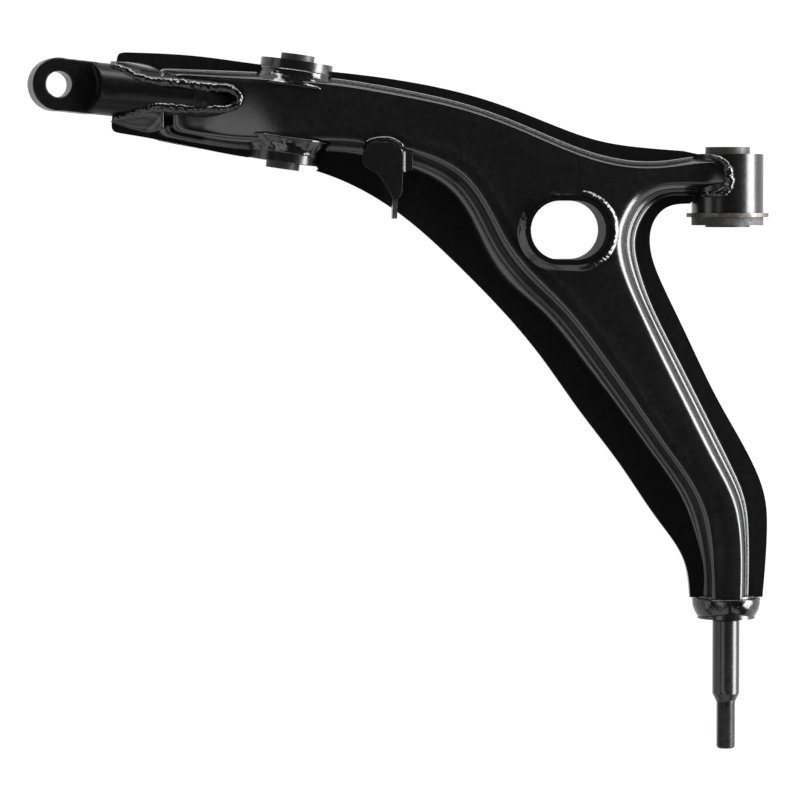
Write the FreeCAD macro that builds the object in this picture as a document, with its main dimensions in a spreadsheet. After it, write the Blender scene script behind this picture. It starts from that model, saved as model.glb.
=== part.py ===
import FreeCAD, Part
import math
import os

import Sketcher

# Control arm, drawn in millimetres.
# Origin: centre of the front bush.  +X inboard, +Y forward along the pivot axis, +Z up.

SIZES = {
    "sheet_metal": 2.8,
    "face_height": 22.0,
    "eye_end_height": 17.0,
    "fork_boss_height": 24.9,
    "pin_end_height": 20.5,
    "front_housing_radius": 21.95,
    "front_housing_inner": 19.4,
    "front_housing_length": 36.0,
    "front_sleeve_inner": 17.6,
    "front_flange_radius": 25.15,
    "front_flange_thick": 2.5,
    "front_rubber_inner": 13.65,
    "front_rubber_bump": 22.0,
    "front_rubber_bump_long": 5.0,
    "front_core_radius": 13.6,
    "front_core_bore": 7.1,
    "front_core_length": 49.0,
    "front_core_low_end": 26.7,
    "fork_tube_radius": 22.0,
    "fork_tube_inner": 19.2,
    "fork_tube_length": 61.6,
    "fork_sleeve_inner": 17.6,
    "fork_rubber_inner": 10.3,
    "fork_rubber_length": 54.0,
    "fork_core_radius": 10.25,
    "fork_core_bore": 6.1,
    "fork_core_length": 70.0,
    "fork_centre_x": -268.0,
    "fork_centre_y": 43.6,
    "fork_tilt": 8.0,
    "eye_x": -410.0,
    "eye_y": 60.0,
    "eye_radius": 16.2,
    "eye_bore": 7.9,
    "eye_thick": 20.0,
    "eye_tilt": 12.0,
    "eye_mill_radius": 24.0,
    "eye_lug_length": 22.0,
    "bar_radius": 15.9,
    "bar_slope": -5.6,
    "window_x": -100.0,
    "window_y": -28.4,
    "window_long": 62.3,
    "window_wide": 50.4,
    "window_weld_rise": 2.6,
    "liner_long": 51.2,
    "liner_wide": 41.4,
    "liner_wall": 2.8,
    "liner_height": 49.6,
    "collar_radius": 17.65,
    "collar_bore": 8.65,
    "collar_start": -253.0,
    "collar_length": 14.0,
    "pin_start": -225.0,
    "pin_root": 8.6,
    "pin_relief": 7.9,
    "pin_relief_long": 1.0,
    "pin_shank": 8.3,
    "pin_shank_end": -314.0,
    "pin_thread_start": -318.0,
    "pin_tip": -347.5,
    "thread_radius": 6.0,
    "thread_pitch": 1.5,
    "bracket_sheet": 3.0,
    "bracket_level": 22.5,
    "weld_gap": 0.05,
    "eye_weld_width": 3.0,
    "eye_weld_rise": 2.4,
}

# Corner and guide points of the pressed shells, seen from above.  Each loop has six sides:
# forward edge, bush end, inboard edge, pin end, outboard edge and eye end.
RIM = [
    [(-373, 79.6), (-324, 77.2), (-287, 72.4), (-238, 67.5), (-189, 60.7), (-152, 52),
     (-115, 38.7), (-78, 25.8), (-54, 22.1), (-28, 20)],
    [(-28, 20), (-23.5, 15), (-23.5, -12.3)],
    [(-23.5, -12.3), (-38, -14.8), (-46, -24), (-48, -36), (-41, -60), (-29, -85), (-5, -134),
     (15.5, -171), (23.5, -193), (24.8, -215), (22.2, -254)],
    [(22.2, -254), (-22.6, -254)],
    [(-22.6, -254), (-26, -232), (-42, -207), (-66, -172), (-91, -139), (-115, -105.5),
     (-140, -76), (-164, -51.5), (-206.6, -14.7), (-238, 2.5), (-265, 11), (-299, 16.6),
     (-348, 26.4), (-377, 31.3)],
    [(-377, 31.3), (-373, 79.6)],
]
FOOT = [
    [(-350, 69.5), (-287, 67), (-241, 63.3), (-195, 55.8), (-160, 47.6), (-120.5, 33),
     (-84.8, 18.8), (-59.5, 13.4), (-37.5, 13.6), (-20, 16.2), (-3, 17)],
    [(-3, 17), (-3, -6)],
    [(-3, -6), (-22, -6.5), (-43, -9), (-50, -15), (-55, -23), (-58, -33), (-56, -51),
     (-47.5, -75), (-35.5, -99.5), (-17, -136), (1.5, -173), (10, -194), (12.6, -215), (12.6, -254)],
    [(12.6, -254), (-15, -254)],
    [(-15, -254), (-14, -238), (-18.3, -219.6), (-27.5, -195), (-47.7, -164.4), (-70.4, -133.7),
     (-94.4, -103), (-119, -75), (-140, -57), (-150, -41), (-158, -23.5), (-172, -4), (-196, 9),
     (-242, 19), (-297, 20.5), (-350, 29)],
    [(-350, 29), (-350, 69.5)],
]
FACE = [
    [(-338, 66), (-287, 63), (-241.6, 59.5), (-196, 52), (-161, 44), (-122, 29.4), (-86, 15),
     (-60, 9.8), (-38, 10.2), (-20, 12.6), (-3, 13.4)],
    [(-3, 13.4), (-3, -1)],
    [(-3, -1), (-23, -0.8), (-47.7, -3), (-57, -8), (-64, -18), (-68, -30), (-66.4, -48), (-57, -72),
     (-45.3, -97), (-26.9, -133.7), (-7.9, -170.6), (3.8, -195), (7.5, -215), (8, -254)],
    [(8, -254), (-10, -254)],
    [(-10, -254), (-10.5, -238), (-12.4, -219.6), (-18.4, -195), (-38, -164), (-59.3, -133.5),
     (-81.1, -102.7), (-104, -74), (-124, -54), (-138, -36), (-148, -17), (-165.5, 6),
     (-192, 18.5), (-240, 26.5), (-297, 26), (-338, 32.5)],
    [(-338, 32.5), (-338, 66)],
]
PIN_END, BUSH_END = 3, 1

UP = FreeCAD.Vector(0, 0, 1)
FORWARD = FreeCAD.Vector(0, 1, 0)

doc = FreeCAD.newDocument("control_arm")
sheet = doc.addObject("Spreadsheet::Sheet", "Sizes")
for row, (alias, value) in enumerate(SIZES.items(), start=1):
    sheet.set("A%d" % row, alias)
    sheet.set("B%d" % row, str(value))
    sheet.setAlias("B%d" % row, alias)
doc.recompute()


def size(alias):
    return float(sheet.get(alias))


def vector(x, y, z=0.0):
    return FreeCAD.Vector(x, y, z)


# ---------------------------------------------------------------- turned pieces

def axis_placement(origin, direction):
    return FreeCAD.Placement(origin, FreeCAD.Rotation(UP, direction))


def origin_plane(body, role):
    return [item for item in body.Origin.OriginFeatures if item.Role == role][0]


def add_ring(body, name, outer, inner, length, start=None):
    """Pad a ring sketched on the body's own XY plane; a start cell lifts it along the axis."""
    sketch = body.newObject("Sketcher::SketchObject", name + "_section")
    sketch.AttachmentSupport = (origin_plane(body, "XY_Plane"), [""])
    sketch.MapMode = "FlatFace"
    for index, (cell, word) in enumerate(((outer, "outside"), (inner, "bore"))):
        sketch.addGeometry(Part.Circle(vector(0, 0), UP, size(cell)))
        sketch.addConstraint(Sketcher.Constraint("Coincident", index, 3, -1, 1))
        number = sketch.addConstraint(Sketcher.Constraint("Radius", index, size(cell)))
        sketch.renameConstraint(number, word)
        sketch.setExpression("Constraints." + word, "Sizes." + cell)
    if start:
        sketch.setExpression("AttachmentOffset.Base.z", start)
    pad = body.newObject("PartDesign::Pad", name + "_pad")
    pad.Profile = sketch
    pad.setExpression("Length", length)
    return pad


def ring_body(label, rings, placement):
    """A turned piece made of coaxial rings: (outside, bore, length, start) for each."""
    body = doc.addObject("PartDesign::Body", label)
    body.Label = label
    for number, ring in enumerate(rings):
        add_ring(body, "%s_%d" % (label, number), *ring)
    body.Placement = placement
    return body


def front_bush():
    up_from = size("front_housing_length") / 2
    housing_base = axis_placement(vector(0, -up_from), FORWARD)
    ring_body("front_bush_housing",
              [("front_housing_radius", "front_housing_inner", "Sizes.front_housing_length")],
              housing_base)
    ring_body("front_bush_outer_sleeve",
              [("front_housing_inner", "front_sleeve_inner", "Sizes.front_housing_length"),
               ("front_flange_radius", "front_sleeve_inner", "Sizes.front_flange_thick",
                "-Sizes.front_flange_thick")],
              housing_base)
    ring_body("front_bush_rubber",
              [("front_sleeve_inner", "front_rubber_inner",
                "Sizes.front_housing_length + Sizes.front_flange_thick - 1",
                "-Sizes.front_flange_thick"),
               ("front_rubber_bump", "front_rubber_inner", "Sizes.front_rubber_bump_long",
                "-Sizes.front_flange_thick - Sizes.front_rubber_bump_long")],
              housing_base)
    ring_body("front_bush_inner_sleeve",
              [("front_core_radius", "front_core_bore", "Sizes.front_core_length")],
              axis_placement(vector(0, -size("front_core_low_end")), FORWARD))


def fork_axis():
    tilt = math.radians(size("fork_tilt"))
    return vector(math.sin(tilt), math.cos(tilt))


def fork_point(along):
    return vector(size("fork_centre_x"), size("fork_centre_y")) + fork_axis() * along


def fork_bush():
    for label, outer, inner, length in (
            ("fork_bush_housing", "fork_tube_radius", "fork_tube_inner", "fork_tube_length"),
            ("fork_bush_outer_sleeve", "fork_tube_inner", "fork_sleeve_inner", "fork_rubber_length"),
            ("fork_bush_rubber", "fork_sleeve_inner", "fork_rubber_inner", "fork_rubber_length"),
            ("fork_bush_inner_sleeve", "fork_core_radius", "fork_core_bore", "fork_core_length")):
        ring_body(label, [(outer, inner, "Sizes." + length)],
                  axis_placement(fork_point(-size(length) / 2), fork_axis()))


def pin_outline():
    """Half section of the rear pin: radius and distance from the pin's inner end."""
    start = size("pin_start")
    shank = size("pin_shank")
    crest = size("thread_radius")
    pitch = size("thread_pitch")
    root = crest - 0.6 * pitch
    shank_end = start - size("pin_shank_end")
    thread_start = start - size("pin_thread_start")
    tip = start - size("pin_tip")
    root_radius = size("pin_root")
    relief = size("pin_relief")
    root_end = start - size("collar_start") + size("collar_length")
    seat = root_end + size("pin_relief_long")
    points = [(0, 0), (root_radius - 1, 0), (root_radius, 1), (root_radius, root_end),
              (relief, root_end), (relief, seat), (shank, seat), (shank, shank_end),
              (crest, thread_start)]
    turns = int((tip - 1.5 - thread_start) / pitch)
    for turn in range(turns):
        base = thread_start + turn * pitch
        points.append((crest, base + 0.15 * pitch))
        points.append((root, base + 0.5 * pitch))
        points.append((root, base + 0.6 * pitch))
        points.append((crest, base + 0.95 * pitch))
    points += [(crest, tip - 1.2), (crest - 1.2, tip), (0, tip)]
    return points


def rear_pin():
    body = doc.addObject("PartDesign::Body", "rear_pin")
    body.Label = "rear_pin"
    sketch = body.newObject("Sketcher::SketchObject", "rear_pin_half_section")
    sketch.AttachmentSupport = (origin_plane(body, "XY_Plane"), [""])
    sketch.MapMode = "FlatFace"
    points = pin_outline()
    for first, second in zip(points, points[1:] + points[:1]):
        sketch.addGeometry(Part.LineSegment(vector(*first), vector(*second)))
    turned = body.newObject("PartDesign::Revolution", "rear_pin_turned")
    turned.Profile = sketch
    turned.ReferenceAxis = (sketch, ["V_Axis"])
    turned.Angle = 360
    body.Placement = FreeCAD.Placement(vector(0, size("pin_start")),
                                       FreeCAD.Rotation(vector(1, 0), 180))
    ring_body("rear_pin_collar", [("collar_radius", "collar_bore", "Sizes.collar_length")],
              axis_placement(vector(0, size("collar_start")), -FORWARD))


# ---------------------------------------------------------------- pressed and welded pieces

def add_shape(label, shape):
    feature = doc.addObject("Part::Feature", label)
    feature.Label = label
    feature.Shape = shape
    return feature


def loop_wire(sides, height):
    """Closed wire through a loop's sides; a side of two points is straight."""
    edges = []
    for side in sides:
        points = [vector(x, y, height) for x, y in side]
        if len(points) == 2:
            edges.append(Part.makeLine(*points))
        else:
            curve = Part.BSplineCurve()
            curve.interpolate(points)
            edges.append(curve.toShape())
    return Part.Wire(edges)


def prism(wire, direction):
    return Part.Face(wire).extrude(direction)


def inset_loop(sides, distances):
    """Move every side inwards by its own distance; the loops run clockwise."""
    points = [point for side in sides for point in side[:-1]]
    moves = [distance for side, distance in zip(sides, distances) for _ in side[:-1]]
    count = len(points)
    lines = []
    for index in range(count):
        (x0, y0), (x1, y1) = points[index], points[(index + 1) % count]
        length = math.hypot(x1 - x0, y1 - y0)
        along = ((x1 - x0) / length, (y1 - y0) / length)
        inward = (along[1], -along[0])
        lines.append((x0 + inward[0] * moves[index], y0 + inward[1] * moves[index], along))
    moved = []
    for index in range(count):
        px, py, (ax, ay) = lines[index - 1]
        qx, qy, (bx, by) = lines[index]
        cross = ax * by - ay * bx
        if abs(cross) < 0.02:
            moved.append((qx, qy))
        else:
            step = ((qx - px) * by - (qy - py) * bx) / cross
            moved.append((px + ax * step, py + ay * step))
    result = []
    start = 0
    for side in sides:
        stop = start + len(side) - 1
        result.append([moved[index % count] for index in range(start, stop + 1)])
        start = stop
    return result


def face_profile():
    """Height of the pressing's top face along X, from the eye end to the bush end."""
    face = size("face_height")
    eye_end = size("eye_end_height")
    boss = size("fork_boss_height")
    return [(-400, 1), (-352, 3), (-338, eye_end - 1.5), (-298, eye_end), (-288, boss), (-246, boss),
            (-222, face), (60, face)]


def interpolate(table, place):
    """Values of a table of (place, value, ...) rows, taken linearly between its rows."""
    for before, after in zip(table, table[1:]):
        if place <= after[0]:
            share = (place - before[0]) / (after[0] - before[0])
            return [a + (b - a) * share for a, b in zip(before[1:], after[1:])]
    return list(table[-1][1:])


def roof(drop):
    """Space under the pressing's top face, lowered by drop, as two crossed extrusions."""
    face = size("face_height") - drop
    pin_end = size("pin_end_height") - drop
    side_view = [(-400, -60)] + [(x, z - drop) for x, z in face_profile()] + [(60, -60)]
    end_view = [(120, -60), (120, 40), (-150, 40), (-200, face), (-238, pin_end), (-300, pin_end),
                (-300, -60)]
    along = Part.makePolygon([vector(x, -300, z) for x, z in side_view + side_view[:1]])
    across = Part.makePolygon([vector(-450, y, z) for y, z in end_view + end_view[:1]])
    return prism(along, vector(0, 500)).common(prism(across, vector(600, 0)))


def hat_solid(foot, face, bottom, drop):
    """Block inside the walls of a pressing, from bottom up to the roof."""
    block = Part.makeLoft([loop_wire(foot, 0), loop_wire(face, size("fork_boss_height") + 0.1)],
                          True, True)
    if bottom < 0:
        block = block.fuse(prism(loop_wire(foot, bottom), vector(0, 0, -bottom)))
    return block.common(roof(drop))


def obround(length, width, height):
    """Obround wire round the window's centre, long along X."""
    radius = width / 2
    run = (length - width) / 2
    cx, cy = size("window_x"), size("window_y")
    right = Part.Arc(vector(cx + run, cy - radius, height), vector(cx + run + radius, cy, height),
                     vector(cx + run, cy + radius, height)).toShape()
    left = Part.Arc(vector(cx - run, cy + radius, height), vector(cx - run - radius, cy, height),
                    vector(cx - run, cy - radius, height)).toShape()
    top = Part.makeLine(vector(cx + run, cy + radius, height), vector(cx - run, cy + radius, height))
    low = Part.makeLine(vector(cx - run, cy - radius, height), vector(cx + run, cy - radius, height))
    return Part.Wire([right, top, left, low])


def window_weld(upper):
    """Fillet round the liner, from the rim that stands proud of the face down to the face."""
    face = size("face_height")
    gap = size("weld_gap")
    top = face + size("window_weld_rise")
    narrow = (size("liner_long") + 2 * gap, size("liner_wide") + 2 * gap)
    fillet = Part.makeLoft([obround(size("window_long"), size("window_wide"), face + gap),
                            obround(narrow[0] + 1.4, narrow[1] + 1.4, top)], True, True)
    return fillet.cut(prism(obround(narrow[0], narrow[1], 0), UP * 40)).cut(upper)


def bush_tongue():
    """Curved strap of the shell that lies on the upper outboard side of the front housing."""
    radius = size("front_housing_radius")
    ring = Part.makeCylinder(radius + size("sheet_metal"), 23, vector(0, -6), FORWARD)
    reach = Part.makeBox(24, 23, 25, vector(-27, -6, 0))
    return ring.common(reach)


def upper_shell_blank():
    """One pressing as stamped: flat rim, walls, roof, window hole and bush tongue."""
    metal = size("sheet_metal")
    rim = prism(loop_wire(RIM, 0), vector(0, 0, metal))
    outside = hat_solid(FOOT, FACE, 0, 0)
    distances = [metal] * 6
    distances[BUSH_END] = -4
    distances[PIN_END] = -4
    cavity = hat_solid(inset_loop(FOOT, distances), inset_loop(FACE, distances), -1, metal)
    room = 2 * size("weld_gap")
    hole = prism(obround(size("liner_long") + room, size("liner_wide") + room, 10), vector(0, 0, 20))
    return rim.fuse(outside).fuse(bush_tongue()).cut(cavity).cut(hole)


def eye_axis():
    tilt = math.radians(size("eye_tilt"))
    return vector(math.sin(tilt), 0, math.cos(tilt))


# Run from the eye's centre, loss of radius and rise of the forged bar's centre line.
BAR_STATIONS = ((0, 0, 0), (38, 0, 0), (70, 2.4, 6), (92, 4.4, 11), (99, 7.4, 12.5), (102.5, 11.5, 13.2))


def bar_direction():
    slope = math.radians(size("bar_slope"))
    return vector(math.cos(slope), math.sin(slope))


def bar_station(run):
    """Centre and radius of the forged bar at a distance from the eye's centre."""
    loss, rise = interpolate(BAR_STATIONS, run)
    centre = vector(size("eye_x"), size("eye_y")) + bar_direction() * run + UP * rise
    return centre, size("bar_radius") - loss


def bar_solid(grow):
    """Forged bar from the eye into the shells."""
    sections = []
    for station in BAR_STATIONS:
        centre, radius = bar_station(station[0])
        circle = Part.Circle(centre, bar_direction(), radius + grow)
        sections.append(Part.Wire([circle.toShape()]))
    return Part.makeLoft(sections, True, True)


def eye_lug(centre, axis):
    """Flat lug of full width between the eye's round head and the bar."""
    along = bar_direction()
    along = (along - axis * along.dot(axis)).normalize()
    across = axis.cross(along)
    thick = size("eye_thick")
    corner = centre - across * size("bar_radius") - axis * thick / 2
    lug = Part.makeBox(size("eye_lug_length"), 2 * size("bar_radius"), thick)
    lug.Placement = FreeCAD.Placement(corner, FreeCAD.Rotation(along, across, axis, "XYZ"))
    return lug


def ball_joint_eye():
    axis = eye_axis()
    centre = vector(size("eye_x"), size("eye_y"))
    half = size("eye_thick") / 2
    head = Part.makeCylinder(size("eye_radius"), 2 * half, centre - axis * half, axis)
    solid = bar_solid(0).fuse(head).fuse(eye_lug(centre, axis))
    for side in (1, -1):
        mill = Part.makeCylinder(size("eye_mill_radius"), 30, centre + axis * half * side, axis * side)
        solid = solid.cut(mill)
    nose_limit = Part.makeCylinder(size("eye_radius"), 80, centre - axis * 40, axis)
    keep = Part.makeBox(140, 80, 80, vector(size("eye_x"), 10, -40)).fuse(nose_limit)
    bore = Part.makeCylinder(size("eye_bore"), 80, centre - axis * 40, axis)
    return solid.common(keep).cut(bore).removeSplitter()


def shell_cutters():
    gap = size("weld_gap")
    fork_length = 2 * size("fork_tube_length")
    return [
        Part.makeCylinder(size("fork_tube_radius") + gap, fork_length, fork_point(-fork_length / 2),
                          fork_axis()),
        Part.makeCylinder(size("front_housing_radius") + gap, 80, vector(0, -40), FORWARD),
        Part.makeCylinder(size("collar_radius") + gap, 40, vector(0, size("collar_start") + gap),
                          -FORWARD),
        bar_solid(gap),
    ]


def mirror_down(shape):
    return shape.mirror(vector(0, 0), UP)


def largest_solid(shape):
    return max(shape.Solids, key=lambda solid: solid.Volume)


def shells():
    blank = upper_shell_blank()
    cutters = shell_cutters()
    pieces = []
    for label, shape in (("upper_shell", blank), ("lower_shell", mirror_down(blank))):
        for cutter in cutters:
            shape = shape.cut(cutter)
        pieces.append(add_shape(label, largest_solid(shape)).Shape)
    return pieces


def window_liner():
    wall = size("liner_wall")
    height = size("liner_height")
    outer = prism(obround(size("liner_long"), size("liner_wide"), -height / 2), UP * height)
    inner = prism(obround(size("liner_long") - 2 * wall, size("liner_wide") - 2 * wall, -height / 2),
                  UP * height)
    seam = Part.makeBox(12, 0.8, 2.5, vector(size("window_x") - 32, size("window_y") + 1, height / 2 - 2.5))
    return outer.cut(inner).cut(seam)


def line_bracket():
    """Folded strap bracket: a plate over the outboard wall, a side flange and a leg."""
    metal = size("bracket_sheet")
    level = size("bracket_level")
    plate_outline = [(-225.3, 12.5), (-224.9, 18.9), (-222.6, 22.7), (-218, 25.2), (-207.2, 24.8),
                     (-201.5, 21), (-200.3, 17), (-201, -5.5), (-203.4, -10), (-206.8, -10),
                     (-207.5, -6.4), (-209.5, -4.1), (-213.4, 2.8), (-216.4, 6.2), (-222.6, 9.3)]
    flange_outline = [(-202.5, metal), (-200.3, metal), (-192.5, metal - 6), (-192.5, -6), (-194, -6),
                      (-202.5, 0)]
    leg_outline = [(20, 5.85), (24, 24.5), (-9, 24.5), (-21.5, 17), (-21.5, 5.85)]
    plate = prism(Part.makePolygon([vector(x, y, level) for x, y in plate_outline + plate_outline[:1]]),
                  UP * metal)
    flange = prism(Part.makePolygon([vector(x, 6, level + z)
                                     for x, z in flange_outline + flange_outline[:1]]),
                   FORWARD * 13.5)
    leg = prism(Part.makePolygon([vector(-206.8, y, z) for y, z in leg_outline + leg_outline[:1]]),
                vector(3.4, 0))
    return plate.fuse(flange).fuse(leg).removeSplitter()


def bead(points, radius, neighbours):
    """Weld bead: a round run through the points, trimmed back to its neighbours."""
    path = Part.BSplineCurve()
    path.interpolate([vector(*point) for point in points])
    edge = path.toShape()
    start = path.StartPoint
    section = Part.Wire([Part.Circle(start, path.tangent(path.FirstParameter)[0], radius).toShape()])
    run = Part.Wire([edge]).makePipeShell([section], True, True)
    for neighbour in neighbours:
        run = run.cut(neighbour)
    return largest_solid(run)


def ring_bead(centre, axis, tube_radius, rise, half_width, neighbours):
    """Bead round a tube: a rounded section that stands on the tube's surface."""
    foot = tube_radius + 0.02
    low = vector(foot, 0, -half_width)
    high = vector(foot, 0, half_width)
    arc = Part.Arc(low, vector(tube_radius + rise, 0, 0), high).toShape()
    section = Part.Face(Part.Wire([arc, Part.makeLine(high, low)]))
    run = section.revolve(vector(0, 0), UP, 360)
    run.Placement = axis_placement(centre, axis)
    for neighbour in neighbours:
        run = run.cut(neighbour)
    return largest_solid(run)


def eye_weld(upper, eye):
    """Bead round the forged bar where it breaks through the upper shell: a band over the face."""
    band = bar_solid(size("eye_weld_width")).common(roof(-size("eye_weld_rise")))
    reach = Part.makeBox(90, 80, 40, vector(-374, 15, 0))
    return largest_solid(band.cut(roof(0)).cut(eye).cut(upper).common(reach))


def welds(upper, lower, eye, bracket):
    housing = doc.getObject("front_bush_housing").Shape
    add_shape("eye_weld_upper", eye_weld(upper, eye))
    under_run = [(-352, 70, -2), (-351, 66, -9), (-350, 54, -15.5), (-351, 43, -9), (-352, 39, -2)]
    add_shape("eye_weld_lower", bead(under_run, 2.4, (lower, eye)))
    for label, along in (("fork_weld_forward", 22.5), ("fork_weld_rearward", -23)):
        ring = ring_bead(fork_point(along), fork_axis(), size("fork_tube_radius"), 2.6, 2.8,
                         (upper, lower, eye))
        add_shape(label, ring)
    tongue_run = [(-17, -7.5), (-7, -7.3), (-1.5, -4), (-1.2, 10), (-5, 16.5), (-16, 17)]
    ride = size("front_housing_radius") + 0.95
    on_top = [(x, y, math.sqrt(ride ** 2 - x ** 2)) for x, y in tongue_run]
    weld = bead(on_top, 1.9, (upper, housing))
    add_shape("front_bush_weld_upper", weld)
    add_shape("front_bush_weld_lower", mirror_down(weld))
    add_shape("rear_pin_weld", ring_bead(vector(0, -260), FORWARD, size("collar_radius"), 3.4, 4.8,
                                         (upper, lower)))
    window = largest_solid(window_weld(upper))
    add_shape("window_weld_upper", window)
    add_shape("window_weld_lower", mirror_down(window))
    bracket_run = [(-226, 20, 22.3), (-222.5, 24.5, 22.6), (-216, 27, 22.8), (-206, 26.3, 22.8),
                   (-200, 22, 22.8)]
    add_shape("bracket_weld", bead(bracket_run, 1.6, (upper, bracket)))


def check_and_export():
    doc.recompute()
    os.makedirs("parts", exist_ok=True)
    for item in doc.Objects:
        if "Invalid" in item.State or "Error" in item.State:
            raise RuntimeError("%s is %s" % (item.Label, item.State))
        if item.TypeId not in ("PartDesign::Body", "Part::Feature"):
            continue
        if item.Shape.isNull() or not item.Shape.isValid():
            raise RuntimeError(item.Label + " has no valid shape")
        if not item.Shape.Solids:
            raise RuntimeError(item.Label + " has no solid")
        item.Shape.exportStep("parts/%s.step" % item.Label)


front_bush()
fork_bush()
rear_pin()
doc.recompute()
upper, lower = shells()
eye = add_shape("ball_joint_eye", ball_joint_eye()).Shape
add_shape("window_liner", window_liner())
bracket = add_shape("line_bracket", largest_solid(line_bracket().cut(upper))).Shape
welds(upper, lower, eye, bracket)
check_and_export()
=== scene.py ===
import math

import bmesh
import bpy
import numpy as np
from mathutils import Matrix, Vector, noise
from mathutils.geometry import delaunay_2d_cdt


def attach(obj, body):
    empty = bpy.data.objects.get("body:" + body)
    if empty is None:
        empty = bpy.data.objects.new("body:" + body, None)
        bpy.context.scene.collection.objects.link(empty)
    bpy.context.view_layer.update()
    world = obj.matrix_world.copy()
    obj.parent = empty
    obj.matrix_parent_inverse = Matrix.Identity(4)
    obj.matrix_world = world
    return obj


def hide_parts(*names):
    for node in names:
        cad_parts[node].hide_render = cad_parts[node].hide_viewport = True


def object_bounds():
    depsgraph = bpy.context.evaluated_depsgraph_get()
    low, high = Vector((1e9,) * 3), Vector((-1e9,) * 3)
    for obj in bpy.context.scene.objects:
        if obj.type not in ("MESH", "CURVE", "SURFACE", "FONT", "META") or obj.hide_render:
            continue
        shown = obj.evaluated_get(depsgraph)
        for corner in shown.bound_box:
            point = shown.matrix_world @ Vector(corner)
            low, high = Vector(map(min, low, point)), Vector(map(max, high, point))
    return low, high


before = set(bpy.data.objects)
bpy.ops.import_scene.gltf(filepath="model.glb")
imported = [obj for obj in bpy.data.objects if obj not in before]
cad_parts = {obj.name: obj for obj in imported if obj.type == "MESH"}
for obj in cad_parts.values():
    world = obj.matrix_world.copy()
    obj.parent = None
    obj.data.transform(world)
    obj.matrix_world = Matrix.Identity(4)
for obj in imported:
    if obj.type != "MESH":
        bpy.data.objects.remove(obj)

# Control arm.  Lengths below are in millimetres in the row's frame; MM turns them to metres.
MM = 0.001
cad_box = [list(corner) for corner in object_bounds()]

SHEET = 2.8
FACE_HEIGHT = 22.0
EYE_END_HEIGHT = 17.0
BOSS_HEIGHT = 24.8
PIN_END_HEIGHT = 20.5
STRAP_RADIUS = 24.6
STRAP_BLEND = 0.9
HOUSING_RADIUS = 21.95
FORK_RADIUS = 22.0
FORK_CENTRE = np.array([-268.0, 43.6, 0.0])
FORK_TILT = math.radians(8.0)
FORK_AXIS = np.array([math.sin(FORK_TILT), math.cos(FORK_TILT), 0.0])
WINDOW = (-100.0, -28.4)
WINDOW_HOLE = (62.3, 50.4)
WINDOW_LINER = (51.2, 41.4)
LINER_TOP = 24.8
# The window weld stops this far below the liner's rim.
LINER_PROUD = 1.2
GRID = 2.2

# Guide points of the pressing, as in the design: the rim, the foot of the wall and the edge of
# the raised face.  The inboard run goes from the bush end to the pin end, the outboard run from
# the pin end round the eye end to the bush end.
RIM_INBOARD = [(-23.5, -12.3), (-38, -14.8), (-46, -24), (-48, -36), (-41, -60), (-29, -85),
               (-5, -134), (15.5, -171), (23.5, -193), (24.8, -215), (22.2, -254)]
RIM_OUTBOARD = [(-22.6, -254), (-26, -232), (-42, -207), (-66, -172), (-91, -139),
                (-115, -105.5), (-140, -76), (-164, -51.5), (-206.6, -14.7), (-238, 2.5),
                (-265, 11), (-299, 16.6), (-348, 26.4), (-377, 31.3)]
RIM_FORWARD = [(-373, 79.6), (-324, 77.2), (-287, 72.4), (-238, 67.5), (-189, 60.7), (-152, 52),
               (-115, 38.7), (-78, 25.8), (-54, 22.1), (-28, 20)]
FOOT_INBOARD = [(-3, -6), (-22, -6.5), (-43, -9), (-50, -15), (-55, -23), (-58, -33), (-56, -51),
                (-47.5, -75), (-35.5, -99.5), (-17, -136), (1.5, -173), (10, -194), (12.6, -215),
                (12.6, -254)]
FACE_INBOARD = [(-3, -1), (-23, -0.8), (-47.7, -3), (-57, -8), (-64, -18), (-68, -30),
                (-66.4, -48), (-57, -72), (-45.3, -97), (-26.9, -133.7), (-7.9, -170.6),
                (3.8, -195), (7.5, -215), (8, -254)]
FOOT_OUTBOARD = [(-15, -254), (-14, -238), (-18.3, -219.6), (-27.5, -195), (-47.7, -164.4),
                 (-70.4, -133.7), (-94.4, -103), (-119, -75), (-140, -57), (-150, -41),
                 (-158, -23.5), (-172, -4), (-196, 9), (-242, 19), (-297, 20.5), (-350, 29)]
FACE_OUTBOARD = [(-10, -254), (-10.5, -238), (-12.4, -219.6), (-18.4, -195), (-38, -164),
                 (-59.3, -133.5), (-81.1, -102.7), (-104, -74), (-124, -54), (-138, -36),
                 (-148, -17), (-165.5, 6), (-192, 18.5), (-240, 26.5), (-297, 26), (-338, 32.5)]
FOOT_FORWARD = [(-350, 69.5), (-287, 67), (-241, 63.3), (-195, 55.8), (-160, 47.6), (-120.5, 33),
                (-84.8, 18.8), (-59.5, 13.4), (-37.5, 13.6), (-20, 16.2), (-3, 17)]
FACE_FORWARD = [(-338, 66), (-287, 63), (-241.6, 59.5), (-196, 52), (-161, 44), (-122, 29.4),
                (-86, 15), (-60, 9.8), (-38, 10.2), (-20, 12.6), (-3, 13.4)]


# ---------------------------------------------------------------- curves and fields

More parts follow.
